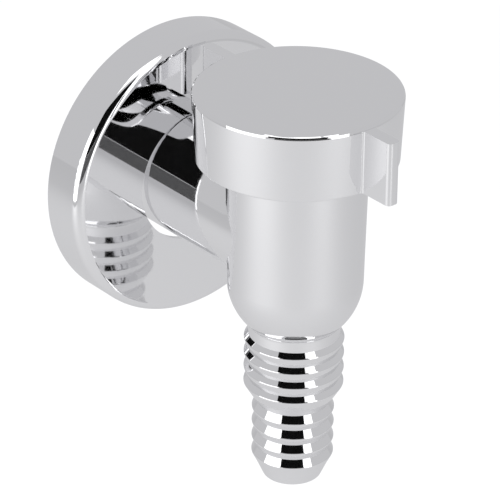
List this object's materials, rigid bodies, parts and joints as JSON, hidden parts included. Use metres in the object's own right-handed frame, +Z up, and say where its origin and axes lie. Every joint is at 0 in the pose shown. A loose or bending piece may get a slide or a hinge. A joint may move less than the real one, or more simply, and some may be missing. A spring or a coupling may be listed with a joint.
{
  "type": "washing machine siphon",
  "caption": "Wall-mounted washing machine siphon: upright trap cup with a winged screw cap, a stepped barbed hose tail below and a horizontal outlet tube with a loose round wall flange.",
  "frame": {"origin": "the wall plane on the outlet tube's axis, where the flange's back rim rests on the wall", "axes": "+Y into the wall along the outlet tube, +Z up, +X to the right for someone who faces the wall"},
  "size_m": [0.0728, 0.101, 0.103],
  "materials": {
    "chrome_body": "bright chromium plate on moulded plastic",
    "chrome_cap": "bright chromium plate on moulded plastic",
    "chrome_flange": "bright chromium plate on moulded plastic, slightly wavy",
    "gasket_rubber": "matt black rubber",
    "insert_plastic": "white moulded plastic, slightly waxy"
  },
  "bodies": {
    "trap": {"body": "chrome_body", "bell_insert": "insert_plastic"},
    "gasket": {"cap_gasket": "gasket_rubber"},
    "cap": {"screw_cap": "chrome_cap"},
    "flange": {"wall_flange": "chrome_flange"}
  },
  "joints": [
    {"name": "flange_slide", "type": "slide", "parent": "trap", "child": "flange", "axis": [0, -1, 0], "range_m": [0, 0.0029]},
    {"name": "gasket_lift", "type": "slide", "parent": "trap", "child": "gasket", "axis": [0, 0, 1], "range_m": [0, 0.0075]},
    {"name": "cap_turn", "type": "hinge", "parent": "gasket", "child": "cap", "pos_m": [0, -0.0491, 0], "axis": [0, 0, 1], "range_deg": [0, 900]}
  ],
  "couplings": [
    {"joint": "gasket_lift", "follows": "cap_turn", "m_per_rad": 0.0004774}
  ]
}
